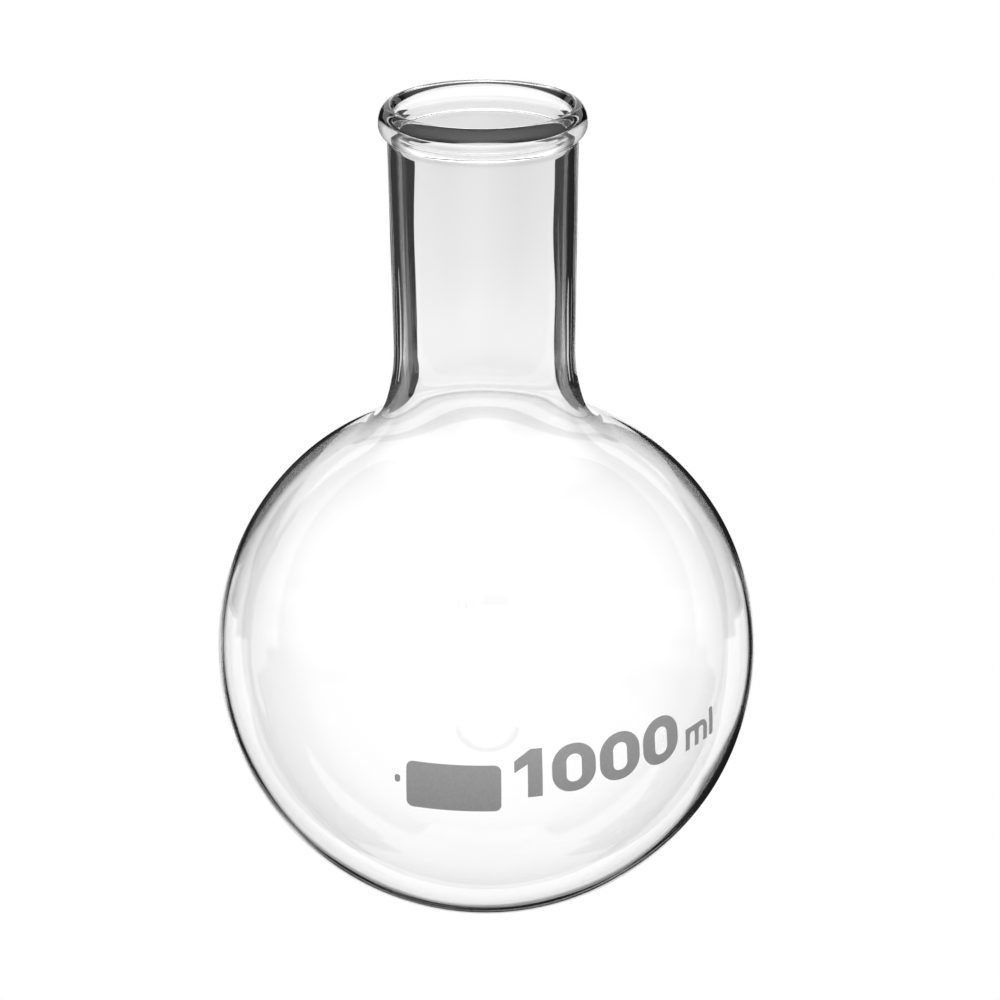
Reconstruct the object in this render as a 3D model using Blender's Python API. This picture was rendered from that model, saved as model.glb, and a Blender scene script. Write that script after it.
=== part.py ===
"""Round-bottom boiling flask, 1000 ml, narrow neck with a beaded rim.

Units are metres, +Z up the neck. The origin is the lowest point of the bulb, on the flask's axis,
and the middle of the printed capacity mark faces -Y.
"""

import math

import bmesh
import bpy
from mathutils import Vector

# Glass body: the sizes that everything else is worked out from
BULB_RADIUS = 0.0655
NECK_RADIUS = 0.0205
NECK_TOP_RADIUS = 0.0204
FLASK_HEIGHT = 0.1996

# Shoulder: it leaves the sphere a little above the equator, on a smaller arc. The neck opens
# downwards in a long flare, and a foot arc joins the flare to the shoulder
SHOULDER_START = math.radians(10.0)
SHOULDER_RADIUS = 0.060
FLARE_TOP = 0.1450
FLARE_RADIUS = 0.048
FOOT_RADIUS = 0.017

# Wall thickness at heights up the flask: a blown bulb is thinner than the neck it is drawn from
WALLS = ((0.0, 0.0014), (0.0655, 0.0011), (0.120, 0.0009), (0.138, 0.0022))

# Bead: a solid ring of melted-back glass round the mouth. It is widest low down and draws in to a
# ridge on top, and inside the ridge a lip flares down into the bore
BEAD_OUTER_RADIUS = 0.02225
BEAD_LEVEL = 0.19565
BEAD_FOOT = 0.1928
RIDGE_RADIUS = 0.0197
LIP_RADIUS = 0.0170
LIP_BASE = 0.1948
LIP_BLEND = 0.0014

# Fineness of the turned surfaces
TURN_STEPS = 48
ARC_STEP = math.radians(7.5)
SMALL_ARC_STEPS = 4
BEAD_STEPS = 5

# Enamel print: thin skins that lie just off the glass
ENAMEL_GAP = 0.0003
ENAMEL_THICKNESS = 0.0003
ENAMEL_CELL = 0.003
PRINT_MIDDLE = 0.0195

# Capacity figures: sizes along the bulb's surface, heights above its equator
FIGURE_BASE = 0.0021
FIGURE_HEIGHT = 0.0115
FIGURE_WIDTH = 0.0099
FIGURE_PITCH = 0.0109
FIGURE_STROKE = 0.0032
FIRST_ZERO = 0.0139
ONE_STEM_RIGHT = 0.0118
ONE_FLAG_REACH = 0.0061
ONE_FLAG_DROP = 0.0034

# Small unit letters beside the figures
LETTER_M_LEFT = 0.0482
LETTER_M_WIDTH = 0.0075
LETTER_L_LEFT = 0.0567
LETTER_BASE = 0.0017
LETTER_HEIGHT = 0.0056
LETTER_ASCENDER = 0.0071
LETTER_STROKE = 0.0013

# Blank patch for writing on, and the small register dot beside it
PATCH_LEFT = -0.0176
PATCH_WIDTH = 0.0205
PATCH_BASE = -0.0011
PATCH_HEIGHT = 0.0114
PATCH_CORNER = 0.0015
DOT_LEFT = -0.0202
DOT_WIDTH = 0.0012
DOT_BASE = 0.0047
DOT_HEIGHT = 0.0018

CORNER_STEPS = 4


def clear_scene():
    """Start from an empty scene."""
    for old in list(bpy.data.objects):
        bpy.data.objects.remove(old, do_unlink=True)


def make_material(name, colour, roughness, transmission=0.0):
    """A Principled material of one colour."""
    material = bpy.data.materials.new(name)
    material.use_nodes = True
    shader = material.node_tree.nodes["Principled BSDF"]
    shader.inputs["Base Color"].default_value = (*colour, 1.0)
    shader.inputs["Metallic"].default_value = 0.0
    shader.inputs["Roughness"].default_value = roughness
    shader.inputs["Transmission Weight"].default_value = transmission
    return material


def add_object(name, working_mesh, material):
    """Turn a bmesh into a smooth-shaded scene object."""
    bmesh.ops.recalc_face_normals(working_mesh, faces=working_mesh.faces)
    mesh = bpy.data.meshes.new(name)
    working_mesh.to_mesh(mesh)
    working_mesh.free()
    mesh.materials.append(material)
    mesh.shade_smooth()
    mesh.set_sharp_from_angle(angle=math.radians(40.0))
    made = bpy.data.objects.new(name, mesh)
    bpy.context.scene.collection.objects.link(made)
    return made


# ---- glass body ----

def arc(centre, radius, start, end, steps):
    """Points (radius from axis, height) along an arc, both ends included."""
    points = []
    for step in range(steps + 1):
        angle = start + (end - start) * step / steps
        points.append((centre[0] + radius * math.cos(angle),
                       centre[1] + radius * math.sin(angle)))
    return points


def wall_at(height):
    """Thickness of the wall at a height, eased between the thicknesses that are given."""
    if height >= WALLS[-1][0]:
        return WALLS[-1][1]
    for (low, thin), (high, thick) in zip(WALLS, WALLS[1:]):
        if height <= high:
            share = max(0.0, (height - low) / (high - low))
            return thin + (thick - thin) * (1.0 - math.cos(math.pi * share)) / 2.0


def curved_walls():
    """Outside and inside of the wall, from the bottom up to where the straight neck starts.

    The foot arc touches the shoulder's circle and, from inside, the flare's circle. Each inside
    point lies straight in from its outside point by the wall's thickness there.
    """
    bulb_centre = Vector((0.0, BULB_RADIUS))
    leaving = Vector((math.cos(SHOULDER_START), math.sin(SHOULDER_START)))
    shoulder_centre = bulb_centre + leaving * (BULB_RADIUS - SHOULDER_RADIUS)
    flare_centre = Vector((NECK_RADIUS + FLARE_RADIUS, FLARE_TOP))
    to_flare = flare_centre - shoulder_centre
    from_shoulder = SHOULDER_RADIUS + FOOT_RADIUS
    from_flare = FLARE_RADIUS - FOOT_RADIUS
    along = (from_shoulder ** 2 - from_flare ** 2 + to_flare.length ** 2) / (2.0 * to_flare.length)
    aside = math.sqrt(from_shoulder ** 2 - along ** 2)
    forward = to_flare.normalized()
    foot_centre = shoulder_centre + forward * along + Vector((-forward.y, forward.x)) * aside
    shoulder_end = math.atan2(*reversed(foot_centre - shoulder_centre))
    flare_end = math.atan2(*reversed(foot_centre - flare_centre))

    below = round((SHOULDER_START + math.pi / 2.0) / ARC_STEP)
    above = round((shoulder_end - SHOULDER_START) / ARC_STEP)
    stretches = (
        (bulb_centre, BULB_RADIUS, -math.pi / 2.0, SHOULDER_START, below, 1.0),
        (shoulder_centre, SHOULDER_RADIUS, SHOULDER_START, shoulder_end, above, 1.0),
        (foot_centre, FOOT_RADIUS, shoulder_end - math.pi, flare_end, SMALL_ARC_STEPS, -1.0),
        (flare_centre, FLARE_RADIUS, flare_end, -math.pi, SMALL_ARC_STEPS, -1.0),
    )
    outside = [(0.0, 0.0)]
    inside = [(0.0, wall_at(0.0))]
    for centre, radius, start, end, steps, facing in stretches:
        for point in arc(centre, radius, start, end, steps)[1:]:
            outward = (Vector(point) - centre) * facing / radius
            outside.append(point)
            inside.append(tuple(Vector(point) - outward * wall_at(point[1])))
    return outside, inside


def bead_section():
    """The rim in section: out from the neck, up to the ridge and down the lip into the bore."""
    middle = (RIDGE_RADIUS, BEAD_LEVEL)
    reach = BEAD_OUTER_RADIUS - RIDGE_RADIUS
    start = -math.acos((NECK_TOP_RADIUS - RIDGE_RADIUS) / reach)
    below = (BEAD_LEVEL - BEAD_FOOT) / math.sin(-start)
    above = FLASK_HEIGHT - BEAD_LEVEL
    bore = NECK_TOP_RADIUS - WALLS[-1][1]
    lower = oval(middle, reach, below, start, 0.0)
    upper = oval(middle, reach, above, 0.0, math.pi / 2.0)
    return lower + upper[1:] + [(LIP_RADIUS, LIP_BASE), (bore, LIP_BASE - LIP_BLEND)]


def oval(centre, half_width, half_height, start, end):
    """Points along a stretch of an oval, both ends included."""
    return [(centre[0] + half_width * across, centre[1] + half_height * up)
            for across, up in arc((0.0, 0.0), 1.0, start, end, BEAD_STEPS)]


def glass_outline():
    """The closed wall in section: up the outside, over the rim and down the inside."""
    outside, inside = curved_walls()
    return outside + bead_section() + inside[::-1]


def make_flask_body(material):
    """Spin the section of the wall round the axis into one open-mouthed piece."""
    turned = bmesh.new()
    corners = [turned.verts.new((radius, 0.0, height)) for radius, height in glass_outline()]
    for lower, upper in zip(corners, corners[1:]):
        turned.edges.new((lower, upper))
    bmesh.ops.spin(turned, geom=turned.verts[:] + turned.edges[:], cent=(0.0, 0.0, 0.0),
                   axis=(0.0, 0.0, 1.0), angle=2.0 * math.pi, steps=TURN_STEPS, use_merge=True)
    bmesh.ops.remove_doubles(turned, verts=turned.verts[:], dist=1e-6)
    return add_object("flask_body", turned, material)


# ---- enamel print ----

def rounded_box(left, base, width, height, corner):
    """A flat outline with four round corners, anticlockwise."""
    points = []
    corners = (
        (left + width - corner, base + corner, -90.0),
        (left + width - corner, base + height - corner, 0.0),
        (left + corner, base + height - corner, 90.0),
        (left + corner, base + corner, 180.0),
    )
    for across, up, start in corners:
        points += arc((across, up), corner, math.radians(start), math.radians(start + 90.0),
                      CORNER_STEPS)
    return points


def on_bulb(across, up, radius):
    """Wrap a point of the flat print onto a sphere round the bulb's centre."""
    turn = (across - PRINT_MIDDLE) / BULB_RADIUS
    level = math.sqrt(radius ** 2 - up ** 2)
    return Vector((level * math.sin(turn), -level * math.cos(turn), BULB_RADIUS + up))


def make_enamel(name, outline, material, hole=None):
    """A skin of enamel: a flat outline, cut into small cells, wrapped on the bulb and thickened."""
    flat = bmesh.new()
    loops = [outline] if hole is None else [outline, hole]
    for loop in loops:
        corners = [flat.verts.new((across, up, 0.0)) for across, up in loop]
        for first, second in zip(corners, corners[1:] + corners[:1]):
            flat.edges.new((first, second))
    bmesh.ops.triangle_fill(flat, edges=flat.edges[:], use_beauty=True)
    cut_into_cells(flat, Vector((1.0, 0.0, 0.0)))
    cut_into_cells(flat, Vector((0.0, 1.0, 0.0)))
    bmesh.ops.triangulate(flat, faces=flat.faces[:])
    thicken_on_bulb(flat)
    return add_object(name, flat, material)


def cut_into_cells(flat, direction):
    """Cut a flat shape at even steps along one direction, so that it can bend round the bulb."""
    places = [vert.co.dot(direction) for vert in flat.verts]
    lowest = min(places)
    length = max(places) - lowest
    cuts = int(length / ENAMEL_CELL)
    for cut in range(1, cuts + 1):
        place = lowest + length * cut / (cuts + 1)
        geometry = flat.verts[:] + flat.edges[:] + flat.faces[:]
        bmesh.ops.bisect_plane(flat, geom=geometry, dist=1e-7, plane_co=direction * place,
                               plane_no=direction)


def thicken_on_bulb(flat):
    """Copy the flat shape outward into a closed skin, and wrap both layers on the bulb."""
    under_radius = BULB_RADIUS + ENAMEL_GAP
    over_radius = under_radius + ENAMEL_THICKNESS
    raised = bmesh.ops.extrude_face_region(flat, geom=flat.faces[:], use_keep_orig=True)["geom"]
    upper = {item for item in raised if isinstance(item, bmesh.types.BMVert)}
    for vert in flat.verts:
        radius = over_radius if vert in upper else under_radius
        vert.co = on_bulb(vert.co.x, vert.co.y, radius)


def one_outline():
    """The figure 1: an upright stem with a slanted flag at its top left."""
    stem_left = ONE_STEM_RIGHT - FIGURE_STROKE
    top = FIGURE_BASE + FIGURE_HEIGHT
    tip = ONE_STEM_RIGHT - ONE_FLAG_REACH
    notch = top - ONE_FLAG_DROP
    return [
        (stem_left, FIGURE_BASE),
        (ONE_STEM_RIGHT, FIGURE_BASE),
        (ONE_STEM_RIGHT, top),
        (stem_left + 0.2 * FIGURE_STROKE, top),
        (tip, notch + 0.25 * ONE_FLAG_DROP),
        (tip, notch - 0.55 * ONE_FLAG_DROP),
        (stem_left, notch),
    ]


def zero_loops(left):
    """The outer and inner outlines of a figure 0 made of half rounds joined by straight sides."""
    outer = rounded_box(left, FIGURE_BASE, FIGURE_WIDTH, FIGURE_HEIGHT, 0.48 * FIGURE_WIDTH)
    hole_width = FIGURE_WIDTH - 2.0 * FIGURE_STROKE
    hole_base = FIGURE_BASE + 0.75 * FIGURE_STROKE
    hole_height = FIGURE_HEIGHT - 1.5 * FIGURE_STROKE
    hole = rounded_box(left + FIGURE_STROKE, hole_base, hole_width, hole_height,
                       0.48 * hole_width)
    return outer, hole


def letter_m_outline():
    """A small m: three legs under two plain arches."""
    inner_width = (LETTER_M_WIDTH - 3.0 * LETTER_STROKE) / 2.0
    half_inner = inner_width / 2.0
    arch_level = LETTER_BASE + LETTER_HEIGHT - LETTER_STROKE - half_inner
    outer_corner = LETTER_STROKE + half_inner
    right = LETTER_M_LEFT + LETTER_M_WIDTH
    top = LETTER_BASE + LETTER_HEIGHT
    points = [(LETTER_M_LEFT, LETTER_BASE), (LETTER_M_LEFT + LETTER_STROKE, LETTER_BASE)]
    for arch in range(2):
        gap_left = LETTER_M_LEFT + LETTER_STROKE + arch * (inner_width + LETTER_STROKE)
        middle = (gap_left + half_inner, arch_level)
        points += arc(middle, half_inner, math.pi, 0.0, 2 * CORNER_STEPS)
        points.append((gap_left + inner_width, LETTER_BASE))
        points.append((gap_left + inner_width + LETTER_STROKE, LETTER_BASE))
    points += arc((right - outer_corner, top - outer_corner), outer_corner, 0.0, math.pi / 2.0,
                  CORNER_STEPS)
    points.append((LETTER_M_LEFT, top))
    return points


def make_print(material):
    """Every piece of the printed mark."""
    make_enamel("marking_patch",
                rounded_box(PATCH_LEFT, PATCH_BASE, PATCH_WIDTH, PATCH_HEIGHT, PATCH_CORNER),
                material("marking_patch"))
    make_enamel("register_dot",
                rounded_box(DOT_LEFT, DOT_BASE, DOT_WIDTH, DOT_HEIGHT, 0.45 * DOT_WIDTH),
                material("register_dot"))
    make_enamel("digit_1", one_outline(), material("digit_1"))
    for place, name in enumerate(("digit_0_a", "digit_0_b", "digit_0_c")):
        outer, hole = zero_loops(FIRST_ZERO + place * FIGURE_PITCH)
        make_enamel(name, outer, material(name), hole)
    make_enamel("letter_m", letter_m_outline(), material("letter_m"))
    make_enamel("letter_l",
                rounded_box(LETTER_L_LEFT, LETTER_BASE, LETTER_STROKE, LETTER_ASCENDER,
                            0.3 * LETTER_STROKE),
                material("letter_l"))


def enamel_material(name):
    """Fired grey-white enamel, a material of its own for each piece."""
    return make_material(name, (0.30, 0.31, 0.31), 0.55)


clear_scene()
make_flask_body(make_material("flask_body", (0.97, 0.99, 0.99), 0.02, transmission=1.0))
make_print(enamel_material)
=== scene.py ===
"""Round-bottom boiling flask: the finished glass, its fired print and a plain white studio.

Units are metres, +Z up the neck, the origin at the lowest point of the bulb.
"""

import math

import bmesh
import bpy
from mathutils import Matrix, Vector


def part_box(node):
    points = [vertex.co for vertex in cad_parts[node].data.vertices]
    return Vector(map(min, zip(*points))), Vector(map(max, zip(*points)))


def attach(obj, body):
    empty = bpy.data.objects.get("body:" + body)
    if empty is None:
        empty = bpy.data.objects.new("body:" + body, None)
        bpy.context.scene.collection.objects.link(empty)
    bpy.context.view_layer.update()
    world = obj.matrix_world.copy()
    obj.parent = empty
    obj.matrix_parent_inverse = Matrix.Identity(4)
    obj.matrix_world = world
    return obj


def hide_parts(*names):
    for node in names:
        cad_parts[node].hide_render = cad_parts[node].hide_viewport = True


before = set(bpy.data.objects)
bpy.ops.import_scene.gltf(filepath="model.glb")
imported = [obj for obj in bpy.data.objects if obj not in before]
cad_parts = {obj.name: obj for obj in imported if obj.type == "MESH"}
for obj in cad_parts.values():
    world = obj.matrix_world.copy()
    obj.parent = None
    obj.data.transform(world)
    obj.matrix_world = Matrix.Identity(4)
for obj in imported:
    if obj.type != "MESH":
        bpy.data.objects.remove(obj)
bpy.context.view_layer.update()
BODY_LOW, BODY_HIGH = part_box("flask_body")

# Glass body, from the frame's own box and the sizes it is blown to. Its walls are (height, thickness)
BULB_RADIUS = (BODY_HIGH.x - BODY_LOW.x) / 2.0
FLASK_HEIGHT = BODY_HIGH.z
NECK_RADIUS = 0.0205
NECK_TOP_RADIUS = 0.0204
SHOULDER_START = math.radians(10.0)
SHOULDER_RADIUS = 0.060
FLARE_TOP = 0.1450
FLARE_RADIUS = 0.048
FOOT_RADIUS = 0.017
WALLS = ((0.0, 0.0014), (0.0655, 0.0011), (0.120, 0.0009), (0.138, 0.0022))

# Bead round the mouth: widest low down, drawn in to a ridge, with a flared lip inside it
BEAD_OUTER_RADIUS = 0.02225
BEAD_LEVEL = 0.19565
BEAD_FOOT = 0.1928
BEAD_BLEND = 0.0014
RIDGE_RADIUS = 0.0197
RIDGE_FLAT = 0.0003
LIP_RADIUS = 0.0170
LIP_BASE = 0.1948
LIP_BLEND = 0.0014

# How far the inside of the blown wall wanders from a true turned surface, how near the axis that dies
# away, the step of height its waves are counted in, and the two waves: (share of the whole, waves in
# a turn, slant a step, start of the turn, waviness a step, start of the waviness), angles in radians
RIPPLE = 0.00004
RIPPLE_FADE = 0.010
RIPPLE_RISE = 0.010
RIPPLE_WAVES = ((0.7, 3.0, 0.5, 0.0, 0.9, 1.3), (0.3, 7.0, -0.8, 2.1, 1.7, 0.4))

# Borosilicate glass: how strongly it bends light, and the waviness of its surface as waves to a metre
# in X, Y and Z and their height
GLASS_IOR = 1.473
GLASS_WAVES = (60.0, 60.0, 25.0)
GLASS_WAVE_HEIGHT = 0.00001

# Enamel: darkest and lightest grey, grains to a metre and their height
ENAMEL_DARK = 0.20
ENAMEL_LIGHT = 0.23
ENAMEL_GRAIN = 1500.0
ENAMEL_BUMP = 0.00001
ENAMEL_ROUGHNESS = 0.5

# Fineness of the turned glass, and how much of the bead's foot and of its lip the blends round off
TURN_STEPS = 256
ARC_STEP = math.radians(1.5)
SMALL_ARC_STEPS = 14
NECK_STEPS = 40
BEAD_STEPS = 24
FOOT_BLEND_STEPS = 4
LIP_STEPS = 10
LIP_EDGE_STEPS = 2
LIP_BASE_STEPS = 7

# Enamel print: the skin's place on the glass, its thickness and how finely it is cut
ENAMEL_GAP = 0.00002
ENAMEL_THICKNESS = 0.00008
ENAMEL_CELL = 0.0010
PRINT_MIDDLE = 0.0195
CORNER_STEPS = 10

# Capacity figures: sizes along the bulb's surface, heights above its equator. The flag's inset is a
# share of the stroke, its tip's levels are shares of its drop, a zero's crown is a share of the stroke
# and its corners are a share of its width
FIGURE_BASE = 0.0021
FIGURE_HEIGHT = 0.0115
FIGURE_WIDTH = 0.0099
FIGURE_PITCH = 0.0109
FIGURE_STROKE = 0.0032
FIRST_ZERO = 0.0139
ONE_STEM_RIGHT = 0.0118
ONE_FLAG_REACH = 0.0061
ONE_FLAG_DROP = 0.0034
ONE_FLAG_INSET = 0.2
ONE_TIP_TOP = 0.25
ONE_TIP_FOOT = 0.55
ZERO_CROWN = 0.75
ZERO_ROUNDNESS = 0.48

# Small unit letters; the l's corners are a share of its stroke
LETTER_M_LEFT = 0.0482
LETTER_M_WIDTH = 0.0075
LETTER_L_LEFT = 0.0567
LETTER_BASE = 0.0017
LETTER_HEIGHT = 0.0056
LETTER_ASCENDER = 0.0071
LETTER_STROKE = 0.0013
LETTER_ROUNDNESS = 0.3

# Blank patch and register dot; the dot's corners are a share of its width
PATCH_LEFT = -0.0176
PATCH_WIDTH = 0.0205
PATCH_BASE = -0.0011
PATCH_HEIGHT = 0.0114
PATCH_CORNER = 0.0015
DOT_LEFT = -0.0202
DOT_WIDTH = 0.0012
DOT_BASE = 0.0047
DOT_HEIGHT = 0.0018
DOT_ROUNDNESS = 0.45

# Camera
CAMERA_TURN = math.radians(-17.06)
CAMERA_REACH = 0.35955
CAMERA_HEIGHT = 0.29509
CAMERA_DIP = math.radians(27.87)
CAMERA_YAW = math.radians(-0.54)
CAMERA_ROLL = math.radians(-0.17)
CAMERA_LENS = 61.96
CAMERA_FILM = 36.0
CAMERA_NEAR = 0.01
CAMERA_FAR = 30.0

# Bright window behind the flask: its plane's distance from the camera and the bulb's middle on it. It
# is a little dimmer in the middle, out to the heart, then white, dark and pale, and its edge is given
# by clock angle in degrees (12 o'clock is 0) as (clock, white out to, dark out to)
WINDOW_DEPTH = 1.0
WINDOW_MIDDLE = (-0.008, -0.084)
WINDOW_HEART = 0.11
WINDOW_CENTRE = 0.78
WINDOW_WHITE = 1.06
WINDOW_DARK = 0.02
WINDOW_PALE = 0.80
WINDOW_SOFTNESS = 0.02
WINDOW_REACH = 1.19
WINDOW_RINGS = 6
WINDOW_EDGE = (
    (0, 0.18, 0.70), (35, 0.17, 0.75), (47, 0.18, 0.75), (62, 0.185, 0.75), (76, 0.29, 0.42),
    (90, 0.27, 0.44), (104, 0.27, 0.46), (113, 0.21, 0.55), (123, 0.19, 0.58),
    (131, 0.24, 0.50), (140, 0.29, 0.46), (150, 0.32, 0.44), (165, 0.29, 0.47), (180, 0.285, 0.47),
    (195, 0.285, 0.47), (210, 0.29, 0.46), (225, 0.32, 0.43), (240, 0.285, 0.47),
    (255, 0.29, 0.45), (270, 0.34, 0.43), (285, 0.28, 0.42), (298, 0.19, 0.75),
    (315, 0.18, 0.75), (325, 0.18, 0.75),
)

# Tall strip above the window, seen through the neck and wider above it:
# (height, depth, half width, brightness in the middle, brightness at the sides)
STRIP_LEVELS = (
    (-0.05, 0.99, 0.133, 0.90, 1.04), (0.06, 0.99, 0.133, 1.02, 1.12),
    (0.10, 0.99, 0.133, 0.96, 1.10), (0.14, 0.99, 0.133, 0.86, 1.02),
    (0.20, 0.99, 0.133, 0.79, 0.93), (0.24, 0.99, 0.30, 0.70, 0.85),
    (0.60, 0.99, 0.30, 0.70, 0.85), (1.00, 0.70, 0.30, 0.80, 0.85),
)

# Dark and grey boards beside the strip, seen in the neck's wall, and their distance from the camera:
# (left edge, right edge, low, high, brightness)
BOARD_DEPTH = 0.98
BOARDS = (
    (-0.75, -0.20, 0.07, 0.45, 0.04), (0.20, 0.75, 0.07, 0.45, 0.02),
    (-0.75, -0.48, -0.01, 0.07, 0.04), (0.48, 0.75, -0.01, 0.07, 0.02),
    (-1.25, -0.75, -0.06, 0.45, 0.22), (0.75, 1.25, -0.06, 0.45, 0.14),
)

# Tent round and behind the camera, open towards the window: (depth, brightness below, brightness
# above) from front to back, how the one turns into the other round the tent, and the middle of its
# closed back with the brightness there
TENT_RADIUS = 1.2
TENT_SIDES = 32
TENT_SHARE_LEVEL = 0.4
TENT_SHARE_SLOPE = 2.0
TENT_LEVELS = ((1.35, 0.08, 0.08), (0.90, 0.10, 0.10), (-0.20, 0.10, 2.6), (-1.20, 0.90, 3.2))
TENT_MIDDLE = (-0.2, 0.2, 1.20)
TENT_GLOW = 3.6

# Floor and surroundings: white to the camera, and hardly lighting anything else
FLOOR_HALF = 6.0
FLOOR_LEVEL = -0.001
SEEN_WHITE = 1.0
DIM_LIGHT = 0.02


# ---- glass ----

def arc(centre, radius, start, end, steps):
    """Points (radius from axis, height) along an arc, both ends included."""
    points = []
    for step in range(steps + 1):
        angle = start + (end - start) * step / steps
        points.append((centre[0] + radius * math.cos(angle),
                       centre[1] + radius * math.sin(angle)))
    return points


def wall_at(height):
    """Thickness of the wall at a height, eased between the thicknesses that are given."""
    if height >= WALLS[-1][0]:
        return WALLS[-1][1]
    for (low, thin), (high, thick) in zip(WALLS, WALLS[1:]):
        if height <= high:
            share = max(0.0, (height - low) / (high - low))
            return thin + (thick - thin) * (1.0 - math.cos(math.pi * share)) / 2.0


def curved_walls():
    """Outside and inside of the wall, from the bottom up to where the straight neck starts.

    The foot arc touches the shoulder's circle and, from inside, the flare's circle. Each inside
    point lies straight in from its outside point by the wall's thickness there.
    """
    bulb_centre = Vector((0.0, BULB_RADIUS))
    leaving = Vector((math.cos(SHOULDER_START), math.sin(SHOULDER_START)))
    shoulder_centre = bulb_centre + leaving * (BULB_RADIUS - SHOULDER_RADIUS)
    flare_centre = Vector((NECK_RADIUS + FLARE_RADIUS, FLARE_TOP))
    to_flare = flare_centre - shoulder_centre
    from_shoulder = SHOULDER_RADIUS + FOOT_RADIUS
    from_flare = FLARE_RADIUS - FOOT_RADIUS
    along = (from_shoulder ** 2 - from_flare ** 2 + to_flare.length ** 2) / (2.0 * to_flare.length)
    aside = math.sqrt(from_shoulder ** 2 - along ** 2)
    forward = to_flare.normalized()
    foot_centre = shoulder_centre + forward * along + Vector((-forward.y, forward.x)) * aside
    shoulder_end = math.atan2(*reversed(foot_centre - shoulder_centre))
    flare_end = math.atan2(*reversed(foot_centre - flare_centre))

    below = round((SHOULDER_START + math.pi / 2.0) / ARC_STEP)
    above = round((shoulder_end - SHOULDER_START) / ARC_STEP)
    stretches = (
        (bulb_centre, BULB_RADIUS, -math.pi / 2.0, SHOULDER_START, below, 1.0),
        (shoulder_centre, SHOULDER_RADIUS, SHOULDER_START, shoulder_end, above, 1.0),
        (foot_centre, FOOT_RADIUS, shoulder_end - math.pi, flare_end, SMALL_ARC_STEPS, -1.0),
        (flare_centre, FLARE_RADIUS, flare_end, -math.pi, SMALL_ARC_STEPS, -1.0),
    )
    outside = [(0.0, 0.0)]
    inside = [(0.0, wall_at(0.0))]
    for centre, radius, start, end, steps, facing in stretches:
        for point in arc(centre, radius, start, end, steps)[1:]:
            outward = (Vector(point) - centre) * facing / radius
            outside.append(point)
            inside.append(tuple(Vector(point) - outward * wall_at(point[1])))
    return outside, inside


def bead_section():
    """The rim in section: out from the neck, up to the ridge and down the lip into the bore."""
    reach = BEAD_OUTER_RADIUS - RIDGE_RADIUS
    start = -math.acos((NECK_TOP_RADIUS - RIDGE_RADIUS) / reach)
    below = (BEAD_LEVEL - BEAD_FOOT) / math.sin(-start)
    above = FLASK_HEIGHT - BEAD_LEVEL
    lower = oval((RIDGE_RADIUS, BEAD_LEVEL), reach, below, start, 0.0)
    upper = oval((RIDGE_RADIUS, BEAD_LEVEL), reach, above, 0.0, math.pi / 2.0)
    foot = blend((NECK_TOP_RADIUS, BEAD_FOOT - BEAD_BLEND), (NECK_TOP_RADIUS, BEAD_FOOT),
                 lower[FOOT_BLEND_STEPS])
    edge = (RIDGE_RADIUS - RIDGE_FLAT, FLASK_HEIGHT)
    base = (LIP_RADIUS, LIP_BASE)
    slope = straight(edge, base, LIP_STEPS)
    bore = (NECK_TOP_RADIUS - WALLS[-1][1], LIP_BASE - LIP_BLEND)
    ridge = blend(upper[-1], edge, slope[LIP_EDGE_STEPS - 1])
    mouth = blend(slope[LIP_BASE_STEPS], base, bore)
    return (foot + lower[FOOT_BLEND_STEPS + 1:] + upper[1:] + ridge[1:]
            + slope[LIP_EDGE_STEPS:LIP_BASE_STEPS] + mouth)


def oval(centre, half_width, half_height, start, end):
    """Points along a stretch of an oval."""
    return [(centre[0] + half_width * across, centre[1] + half_height * up)
            for across, up in arc((0.0, 0.0), 1.0, start, end, BEAD_STEPS)]


def blend(start, corner, end):
    """A smooth curve from one point to another that leaves and arrives along a corner's sides."""
    points = []
    for step in range(SMALL_ARC_STEPS + 1):
        share = step / SMALL_ARC_STEPS
        first = (1.0 - share) ** 2
        middle = 2.0 * share * (1.0 - share)
        last = share ** 2
        points.append((first * start[0] + middle * corner[0] + last * end[0],
                       first * start[1] + middle * corner[1] + last * end[1]))
    return points


def straight(start, end, steps):
    """Points between two others, leaving both out."""
    points = []
    for step in range(1, steps):
        share = step / steps
        points.append((start[0] + (end[0] - start[0]) * share,
                       start[1] + (end[1] - start[1]) * share))
    return points


def glass_outline():
    """The wall in section: up the outside, over the rim and down the inside.

    Each point is (radius, height, 1 on the inside of the wall and 0 elsewhere).
    """
    outside, inside = curved_walls()
    inside.reverse()
    rim = bead_section()
    outer = outside + straight(outside[-1], rim[0], NECK_STEPS) + rim
    inner = straight(rim[-1], inside[0], NECK_STEPS) + inside
    return [(*point, 0.0) for point in outer] + [(*point, 1.0) for point in inner]


def ripple(angle, height):
    """A slow unevenness of the blown wall, in and out, round and up the flask."""
    rise = height / RIPPLE_RISE
    total = 0.0
    for share, turns, slant, start, climb, climb_start in RIPPLE_WAVES:
        around = math.sin(turns * angle + slant * rise + start)
        total += share * around * math.sin(climb * rise + climb_start)
    return RIPPLE * total


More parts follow.
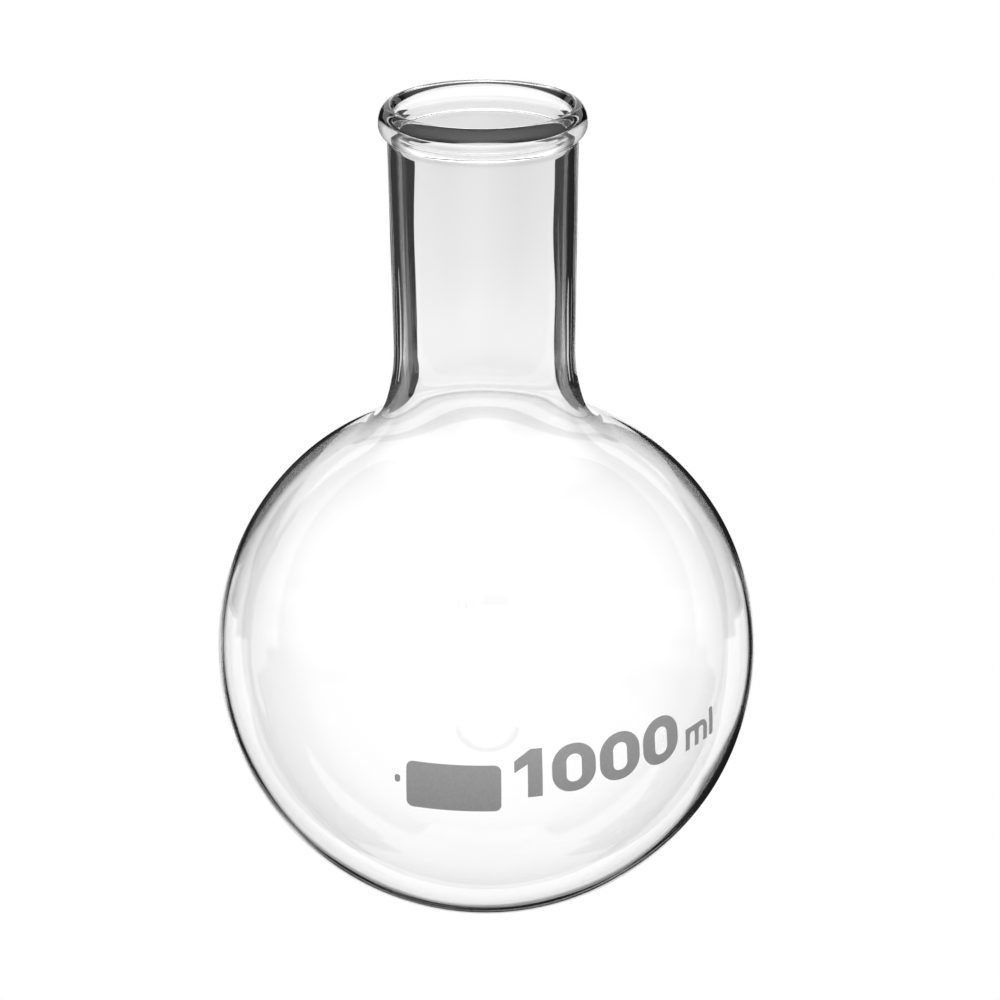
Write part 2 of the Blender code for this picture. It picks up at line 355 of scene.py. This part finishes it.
def make_glass(material):
    """The whole flask as one fine turned mesh."""
    outline = glass_outline()
    points = [(0.0, 0.0, outline[0][1])]
    rings = outline[1:-1]
    for radius, height, inner in rings:
        fade = inner * min(1.0, radius / RIPPLE_FADE)
        for step in range(TURN_STEPS):
            angle = 2.0 * math.pi * step / TURN_STEPS
            reach = radius + fade * ripple(angle, height)
            points.append((reach * math.cos(angle), reach * math.sin(angle), height))
    points.append((0.0, 0.0, outline[-1][1]))
    last = len(points) - 1
    faces = []
    for step in range(TURN_STEPS):
        after = (step + 1) % TURN_STEPS
        faces.append((0, 1 + after, 1 + step))
        for ring in range(len(rings) - 1):
            low = 1 + ring * TURN_STEPS
            high = low + TURN_STEPS
            faces.append((low + step, low + after, high + after, high + step))
        top = 1 + (len(rings) - 1) * TURN_STEPS
        faces.append((top + step, top + after, last))
    mesh = bpy.data.meshes.new("glass_flask")
    mesh.from_pydata(points, [], faces)
    mesh.validate()
    mesh.shade_smooth()
    mesh.materials.append(material)
    glass = bpy.data.objects.new("glass_flask", mesh)
    bpy.context.scene.collection.objects.link(glass)
    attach(glass, "root")
    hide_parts("flask_body")


def add_node(material, kind, **inputs):
    """A new node of a material, with some of its inputs set by name."""
    node = material.node_tree.nodes.new(kind)
    for name, value in inputs.items():
        node.inputs[name.replace("_", " ")].default_value = value
    return node


def add_bump(material, height, strength, distance):
    """Let a height signal tilt a material's surface."""
    shader = material.node_tree.nodes["Principled BSDF"]
    bump = add_node(material, "ShaderNodeBump", Strength=strength, Distance=distance)
    material.node_tree.links.new(height, bump.inputs["Height"])
    material.node_tree.links.new(bump.outputs["Normal"], shader.inputs["Normal"])


def glass_material():
    """Clear borosilicate glass, faintly wavy from being drawn and blown."""
    material = bpy.data.materials.new("clear_glass")
    material.use_nodes = True
    shader = material.node_tree.nodes["Principled BSDF"]
    shader.inputs["Base Color"].default_value = (1.0, 1.0, 1.0, 1.0)
    shader.inputs["Roughness"].default_value = 0.0
    shader.inputs["IOR"].default_value = GLASS_IOR
    shader.inputs["Transmission Weight"].default_value = 1.0
    place = add_node(material, "ShaderNodeTexCoord")
    stretch = add_node(material, "ShaderNodeMapping", Scale=GLASS_WAVES)
    waves = add_node(material, "ShaderNodeTexNoise", Scale=1.0, Detail=0.0)
    material.node_tree.links.new(place.outputs["Object"], stretch.inputs["Vector"])
    material.node_tree.links.new(stretch.outputs["Vector"], waves.inputs["Vector"])
    add_bump(material, waves.outputs["Fac"], 1.0, GLASS_WAVE_HEIGHT)
    return material


# ---- enamel print ----

def rounded_box(left, base, width, height, corner):
    """A flat outline with four round corners, anticlockwise."""
    points = []
    corners = (
        (left + width - corner, base + corner, -90.0),
        (left + width - corner, base + height - corner, 0.0),
        (left + corner, base + height - corner, 90.0),
        (left + corner, base + corner, 180.0),
    )
    for across, up, start in corners:
        points += arc((across, up), corner, math.radians(start), math.radians(start + 90.0),
                      CORNER_STEPS)
    return points


def one_outline():
    """The figure 1: an upright stem with a slanted flag at its top left."""
    stem_left = ONE_STEM_RIGHT - FIGURE_STROKE
    top = FIGURE_BASE + FIGURE_HEIGHT
    tip = ONE_STEM_RIGHT - ONE_FLAG_REACH
    notch = top - ONE_FLAG_DROP
    return [
        (stem_left, FIGURE_BASE),
        (ONE_STEM_RIGHT, FIGURE_BASE),
        (ONE_STEM_RIGHT, top),
        (stem_left + ONE_FLAG_INSET * FIGURE_STROKE, top),
        (tip, notch + ONE_TIP_TOP * ONE_FLAG_DROP),
        (tip, notch - ONE_TIP_FOOT * ONE_FLAG_DROP),
        (stem_left, notch),
    ]


def zero_loops(left):
    """The outer and inner outlines of a figure 0 made of half rounds joined by straight sides."""
    outer = rounded_box(left, FIGURE_BASE, FIGURE_WIDTH, FIGURE_HEIGHT,
                        ZERO_ROUNDNESS * FIGURE_WIDTH)
    hole_width = FIGURE_WIDTH - 2.0 * FIGURE_STROKE
    hole_base = FIGURE_BASE + ZERO_CROWN * FIGURE_STROKE
    hole_height = FIGURE_HEIGHT - 2.0 * ZERO_CROWN * FIGURE_STROKE
    hole = rounded_box(left + FIGURE_STROKE, hole_base, hole_width, hole_height,
                       ZERO_ROUNDNESS * hole_width)
    return outer, hole


def letter_m_outline():
    """A small m: three legs under two plain arches."""
    inner_width = (LETTER_M_WIDTH - 3.0 * LETTER_STROKE) / 2.0
    half_inner = inner_width / 2.0
    arch_level = LETTER_BASE + LETTER_HEIGHT - LETTER_STROKE - half_inner
    outer_corner = LETTER_STROKE + half_inner
    right = LETTER_M_LEFT + LETTER_M_WIDTH
    top = LETTER_BASE + LETTER_HEIGHT
    points = [(LETTER_M_LEFT, LETTER_BASE), (LETTER_M_LEFT + LETTER_STROKE, LETTER_BASE)]
    for arch in range(2):
        gap_left = LETTER_M_LEFT + LETTER_STROKE + arch * (inner_width + LETTER_STROKE)
        middle = (gap_left + half_inner, arch_level)
        points += arc(middle, half_inner, math.pi, 0.0, 2 * CORNER_STEPS)
        points.append((gap_left + inner_width, LETTER_BASE))
        points.append((gap_left + inner_width + LETTER_STROKE, LETTER_BASE))
    points += arc((right - outer_corner, top - outer_corner), outer_corner, 0.0, math.pi / 2.0,
                  CORNER_STEPS)
    points.append((LETTER_M_LEFT, top))
    return points


def on_bulb(across, up, radius):
    """Wrap a point of the flat print onto a sphere round the bulb's centre."""
    turn = (across - PRINT_MIDDLE) / BULB_RADIUS
    level = math.sqrt(radius ** 2 - up ** 2)
    return Vector((level * math.sin(turn), -level * math.cos(turn), BULB_RADIUS + up))


def cut_into_cells(flat, direction):
    """Cut a flat shape at even steps along one direction, so that it can bend round the bulb."""
    places = [vert.co.dot(direction) for vert in flat.verts]
    lowest = min(places)
    length = max(places) - lowest
    cuts = int(length / ENAMEL_CELL)
    for cut in range(1, cuts + 1):
        place = lowest + length * cut / (cuts + 1)
        geometry = flat.verts[:] + flat.edges[:] + flat.faces[:]
        bmesh.ops.bisect_plane(flat, geom=geometry, dist=1e-7, plane_co=direction * place,
                               plane_no=direction)


def thicken_on_bulb(flat):
    """Copy the flat shape outward into a closed skin, and wrap both layers on the bulb."""
    under_radius = BULB_RADIUS + ENAMEL_GAP
    over_radius = under_radius + ENAMEL_THICKNESS
    raised = bmesh.ops.extrude_face_region(flat, geom=flat.faces[:], use_keep_orig=True)["geom"]
    upper = {item for item in raised if isinstance(item, bmesh.types.BMVert)}
    for vert in flat.verts:
        radius = over_radius if vert in upper else under_radius
        vert.co = on_bulb(vert.co.x, vert.co.y, radius)


def make_enamel(name, node, outline, material, hole=None):
    """One fused island of enamel, standing for its CAD node."""
    flat = bmesh.new()
    loops = [outline] if hole is None else [outline, hole]
    for loop in loops:
        corners = [flat.verts.new((across, up, 0.0)) for across, up in loop]
        for first, second in zip(corners, corners[1:] + corners[:1]):
            flat.edges.new((first, second))
    bmesh.ops.triangle_fill(flat, edges=flat.edges[:], use_beauty=True)
    cut_into_cells(flat, Vector((1.0, 0.0, 0.0)))
    cut_into_cells(flat, Vector((0.0, 1.0, 0.0)))
    bmesh.ops.triangulate(flat, faces=flat.faces[:])
    thicken_on_bulb(flat)
    bmesh.ops.recalc_face_normals(flat, faces=flat.faces)
    mesh = bpy.data.meshes.new(name)
    flat.to_mesh(mesh)
    flat.free()
    mesh.materials.append(material)
    mesh.shade_smooth()
    mesh.set_sharp_from_angle(angle=math.radians(40.0))
    piece = bpy.data.objects.new(name, mesh)
    bpy.context.scene.collection.objects.link(piece)
    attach(piece, "root")
    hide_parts(node)


def make_print(material):
    """Every island of the printed mark."""
    make_enamel("patch_enamel", "marking_patch",
                rounded_box(PATCH_LEFT, PATCH_BASE, PATCH_WIDTH, PATCH_HEIGHT, PATCH_CORNER), material)
    make_enamel("dot_enamel", "register_dot",
                rounded_box(DOT_LEFT, DOT_BASE, DOT_WIDTH, DOT_HEIGHT, DOT_ROUNDNESS * DOT_WIDTH),
                material)
    make_enamel("one_enamel", "digit_1", one_outline(), material)
    for place, letter in enumerate("abc"):
        outer, hole = zero_loops(FIRST_ZERO + place * FIGURE_PITCH)
        make_enamel("zero_enamel_" + letter, "digit_0_" + letter, outer, material, hole)
    make_enamel("m_enamel", "letter_m", letter_m_outline(), material)
    make_enamel("l_enamel", "letter_l",
                rounded_box(LETTER_L_LEFT, LETTER_BASE, LETTER_STROKE, LETTER_ASCENDER,
                            LETTER_ROUNDNESS * LETTER_STROKE), material)


def enamel_material():
    """Fired grey enamel: satin and a little grainy, in patches and in fine specks."""
    material = bpy.data.materials.new("grey_enamel")
    material.use_nodes = True
    tree = material.node_tree
    shader = tree.nodes["Principled BSDF"]
    shader.inputs["Roughness"].default_value = ENAMEL_ROUGHNESS
    place = add_node(material, "ShaderNodeTexCoord")
    grain = add_node(material, "ShaderNodeTexNoise", Scale=ENAMEL_GRAIN, Detail=4.0)
    tones = tree.nodes.new("ShaderNodeValToRGB")
    tones.color_ramp.elements[0].position = 0.3
    tones.color_ramp.elements[0].color = (ENAMEL_DARK, ENAMEL_DARK, ENAMEL_DARK, 1.0)
    tones.color_ramp.elements[1].position = 0.7
    tones.color_ramp.elements[1].color = (ENAMEL_LIGHT, ENAMEL_LIGHT, ENAMEL_LIGHT, 1.0)
    tree.links.new(place.outputs["Object"], grain.inputs["Vector"])
    tree.links.new(grain.outputs["Fac"], tones.inputs["Fac"])
    tree.links.new(tones.outputs["Color"], shader.inputs["Base Color"])
    add_bump(material, grain.outputs["Fac"], 1.0, ENAMEL_BUMP)
    return material


# ---- camera and studio ----

def make_camera():
    """The camera, a little above the rim and turned to the left of the print."""
    data = bpy.data.cameras.new("camera")
    data.lens = CAMERA_LENS
    data.sensor_width = CAMERA_FILM
    data.clip_start = CAMERA_NEAR
    data.clip_end = CAMERA_FAR
    camera = bpy.data.objects.new("camera", data)
    bpy.context.scene.collection.objects.link(camera)
    place = Vector((math.sin(CAMERA_TURN) * CAMERA_REACH, -math.cos(CAMERA_TURN) * CAMERA_REACH,
                    CAMERA_HEIGHT))
    turn = (Matrix.Rotation(CAMERA_TURN + CAMERA_YAW, 4, "Z")
            @ Matrix.Rotation(math.pi / 2.0 - CAMERA_DIP, 4, "X")
            @ Matrix.Rotation(CAMERA_ROLL, 4, "Z"))
    camera.matrix_world = Matrix.Translation(place) @ turn
    bpy.context.scene.camera = camera
    return camera


def glow_material():
    """Gives light as bright as the card's own glow value says."""
    material = bpy.data.materials.new("glow")
    material.use_nodes = True
    tree = material.node_tree
    tree.nodes.clear()
    output = tree.nodes.new("ShaderNodeOutputMaterial")
    light = tree.nodes.new("ShaderNodeEmission")
    level = tree.nodes.new("ShaderNodeAttribute")
    level.attribute_name = "glow"
    tree.links.new(level.outputs["Fac"], light.inputs["Strength"])
    tree.links.new(light.outputs["Emission"], output.inputs["Surface"])
    return material


def make_card(name, points, faces, glows, material, camera):
    """A card that hangs from the camera, seen only in the glass and by what it lights."""
    mesh = bpy.data.meshes.new(name)
    mesh.from_pydata(points, [], faces)
    mesh.materials.append(material)
    glow = mesh.attributes.new("glow", "FLOAT", "POINT")
    glow.data.foreach_set("value", glows)
    card = bpy.data.objects.new(name, mesh)
    bpy.context.scene.collection.objects.link(card)
    card.parent = camera
    card.visible_camera = False
    card.visible_shadow = False


def make_window(material, camera):
    """The bright window behind the bulb: a little dim in the middle, then white, dark and pale."""
    points = [(*WINDOW_MIDDLE, -WINDOW_DEPTH)]
    glows = [WINDOW_CENTRE]
    for clock, white, dark in WINDOW_EDGE:
        across = math.sin(math.radians(clock))
        up = math.cos(math.radians(clock))
        edges = ((WINDOW_HEART, WINDOW_WHITE), (white, WINDOW_WHITE),
                 (white + WINDOW_SOFTNESS, WINDOW_DARK), (dark, WINDOW_DARK),
                 (dark + WINDOW_SOFTNESS, WINDOW_PALE), (WINDOW_REACH, WINDOW_PALE))
        for reach, glow in edges:
            points.append((WINDOW_MIDDLE[0] + across * reach, WINDOW_MIDDLE[1] + up * reach,
                           -WINDOW_DEPTH))
            glows.append(glow)
    faces = []
    count = len(WINDOW_EDGE)
    for spoke in range(count):
        here = 1 + spoke * WINDOW_RINGS
        there = 1 + (spoke + 1) % count * WINDOW_RINGS
        faces.append((0, there, here))
        for ring in range(WINDOW_RINGS - 1):
            faces.append((here + ring, there + ring, there + ring + 1, here + ring + 1))
    make_card("window", points, faces, glows, material, camera)


def make_strip(material, camera):
    """The tall strip above the window, bending forward over the flask."""
    points = []
    glows = []
    for up, depth, reach, middle, side in STRIP_LEVELS:
        for across, glow in ((-reach, side), (0.0, middle), (reach, side)):
            points.append((across, up, -depth))
            glows.append(glow)
    faces = []
    for level in range(len(STRIP_LEVELS) - 1):
        for left in (3 * level, 3 * level + 1):
            faces.append((left, left + 1, left + 4, left + 3))
    make_card("strip", points, faces, glows, material, camera)


def make_boards(material, camera):
    """Dark and grey boards on both sides of the strip."""
    for place, (left, right, low, high, glow) in enumerate(BOARDS):
        points = [(left, low, -BOARD_DEPTH), (right, low, -BOARD_DEPTH),
                  (right, high, -BOARD_DEPTH), (left, high, -BOARD_DEPTH)]
        make_card("board_%d" % place, points, [(0, 1, 2, 3)], [glow] * 4, material, camera)


def make_tent(material, camera):
    """A tube round the camera with a closed back, dim in front, bright above and behind."""
    points = []
    glows = []
    for depth, below, above in TENT_LEVELS:
        for side in range(TENT_SIDES):
            angle = 2.0 * math.pi * side / TENT_SIDES
            share = min(1.0, max(0.0, TENT_SHARE_LEVEL + TENT_SHARE_SLOPE * math.sin(angle)))
            points.append((TENT_RADIUS * math.cos(angle), TENT_RADIUS * math.sin(angle), -depth))
            glows.append(below + (above - below) * share)
    faces = []
    for level in range(len(TENT_LEVELS) - 1):
        here = level * TENT_SIDES
        for side in range(TENT_SIDES):
            after = (side + 1) % TENT_SIDES
            faces.append((here + side, here + after, here + TENT_SIDES + after,
                          here + TENT_SIDES + side))
    rim = len(points) - TENT_SIDES
    for side in range(TENT_SIDES):
        faces.append((rim + side, rim + (side + 1) % TENT_SIDES, len(points)))
    points.append(TENT_MIDDLE)
    glows.append(TENT_GLOW)
    make_card("tent", points, faces, glows, material, camera)


def make_floor():
    """A wide plain floor that glows an even white and is seen by the camera only."""
    material = bpy.data.materials.new("white_floor")
    material.use_nodes = True
    tree = material.node_tree
    tree.nodes.clear()
    output = tree.nodes.new("ShaderNodeOutputMaterial")
    light = tree.nodes.new("ShaderNodeEmission")
    light.inputs["Strength"].default_value = SEEN_WHITE
    tree.links.new(light.outputs["Emission"], output.inputs["Surface"])
    mesh = bpy.data.meshes.new("floor")
    corners = ((-1.0, -1.0), (1.0, -1.0), (1.0, 1.0), (-1.0, 1.0))
    mesh.from_pydata([(FLOOR_HALF * across, FLOOR_HALF * along, FLOOR_LEVEL)
                      for across, along in corners], [], [(0, 1, 2, 3)])
    mesh.materials.append(material)
    floor = bpy.data.objects.new("floor", mesh)
    bpy.context.scene.collection.objects.link(floor)
    floor.visible_transmission = False
    floor.visible_glossy = False
    floor.visible_diffuse = False
    floor.visible_shadow = False


def make_world():
    """White to the eye of the camera, dim to everything else."""
    world = bpy.data.worlds.new("studio")
    bpy.context.scene.world = world
    world.use_nodes = True
    tree = world.node_tree
    tree.nodes.clear()
    output = tree.nodes.new("ShaderNodeOutputWorld")
    seen = tree.nodes.new("ShaderNodeBackground")
    seen.inputs["Strength"].default_value = SEEN_WHITE
    seen.inputs["Color"].default_value = (1.0, 1.0, 1.0, 1.0)
    dim = tree.nodes.new("ShaderNodeBackground")
    dim.inputs["Strength"].default_value = DIM_LIGHT
    path = tree.nodes.new("ShaderNodeLightPath")
    mix = tree.nodes.new("ShaderNodeMixShader")
    tree.links.new(path.outputs["Is Camera Ray"], mix.inputs["Fac"])
    tree.links.new(dim.outputs["Background"], mix.inputs[1])
    tree.links.new(seen.outputs["Background"], mix.inputs[2])
    tree.links.new(mix.outputs["Shader"], output.inputs["Surface"])


make_glass(glass_material())
make_print(enamel_material())
camera = make_camera()
glow = glow_material()
make_window(glow, camera)
make_strip(glow, camera)
make_boards(glow, camera)
make_tent(glow, camera)
make_floor()
make_world()
bpy.context.scene.view_settings.view_transform = "Standard"
